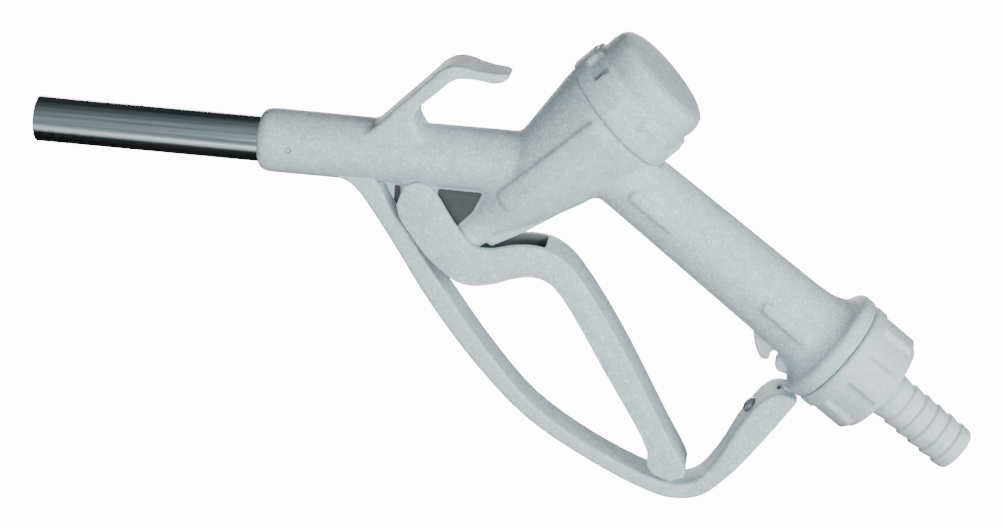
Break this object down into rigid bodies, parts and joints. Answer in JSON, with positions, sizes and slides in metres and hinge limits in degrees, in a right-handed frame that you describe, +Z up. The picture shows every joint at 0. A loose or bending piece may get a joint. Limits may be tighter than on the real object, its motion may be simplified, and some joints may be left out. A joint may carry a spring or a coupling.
{
  "type": "manual fuel nozzle",
  "caption": "Hand-held fuel dispensing nozzle in moulded plastic with a straight metal spout, a squeeze lever inside a loop guard, a hanging hook and a barbed hose tail.",
  "frame": {"origin": "centre of the end face of the hose tail, on the tail's axis", "axes": "X runs level along the nozzle with the spout towards -X, Y across it from side to side, Z up; the hose tail falls at 36 degrees towards +X and the valve's axis rises at 45 degrees towards +X"},
  "size_m": [0.3971, 0.0538, 0.1961],
  "materials": {
    "moulded_body": "light blue-grey moulded plastic with a fine mottled skin",
    "moulded_hose_end": "light blue-grey moulded plastic, ribbed hose end",
    "drawn_steel": "stainless tube with long draw lines",
    "turned_steel": "turned stainless steel",
    "spring_steel": "coiled spring wire",
    "woven_steel": "slotted sheet strainer",
    "pin_plastic": "light blue-grey moulded pin",
    "valve_plastic": "natural off-white engineering plastic",
    "seal_rubber": "black moulded rubber"
  },
  "bodies": {
    "body": {"nozzle_body": "moulded_body", "lever_guard": "moulded_body", "guard_screw": "turned_steel", "spout_tube": "drawn_steel", "spout_seal": "seal_rubber", "spout_pin": "pin_plastic", "valve_cap": "moulded_body", "valve_cap_seal": "seal_rubber", "stem_guide": "valve_plastic", "stem_seal_upper": "seal_rubber", "stem_seal_lower": "seal_rubber", "lever_pin": "pin_plastic", "tail_gasket": "seal_rubber", "inlet_strainer": "woven_steel", "main_spring": "spring_steel"},
    "lever": {"lever": "moulded_body"},
    "valve": {"valve_stem": "turned_steel", "stem_button": "valve_plastic", "valve_poppet": "valve_plastic", "poppet_seal": "seal_rubber", "seal_retainer": "turned_steel"},
    "nut": {"union_nut": "moulded_hose_end"},
    "tail": {"hose_tail": "moulded_hose_end"}
  },
  "joints": [
    {"name": "lever_pivot", "type": "hinge", "parent": "body", "child": "lever", "pos_m": [-0.22992, 0, 0.08823], "axis": [0, -1, 0], "range_deg": [0, 11], "stiffness_Nm_per_rad": 3, "springref_deg": -14.32},
    {"name": "valve_lift", "type": "slide", "parent": "body", "child": "valve", "axis": [0.7071, 0, 0.7071], "range_m": [0, 0.005], "deforming": ["main_spring"]},
    {"name": "union_nut_turn", "type": "hinge", "parent": "body", "child": "nut", "pos_m": [-0.04369, 0, 0.03174], "axis": [0.809, 0, -0.5878], "continuous": true},
    {"name": "hose_tail_swivel", "type": "hinge", "parent": "body", "child": "tail", "pos_m": [-0.02589, 0, 0.01881], "axis": [0.809, 0, -0.5878], "continuous": true}
  ],
  "couplings": [
    {"joint": "valve_lift", "follows": "lever_pivot", "m_per_rad": 0.026}
  ]
}
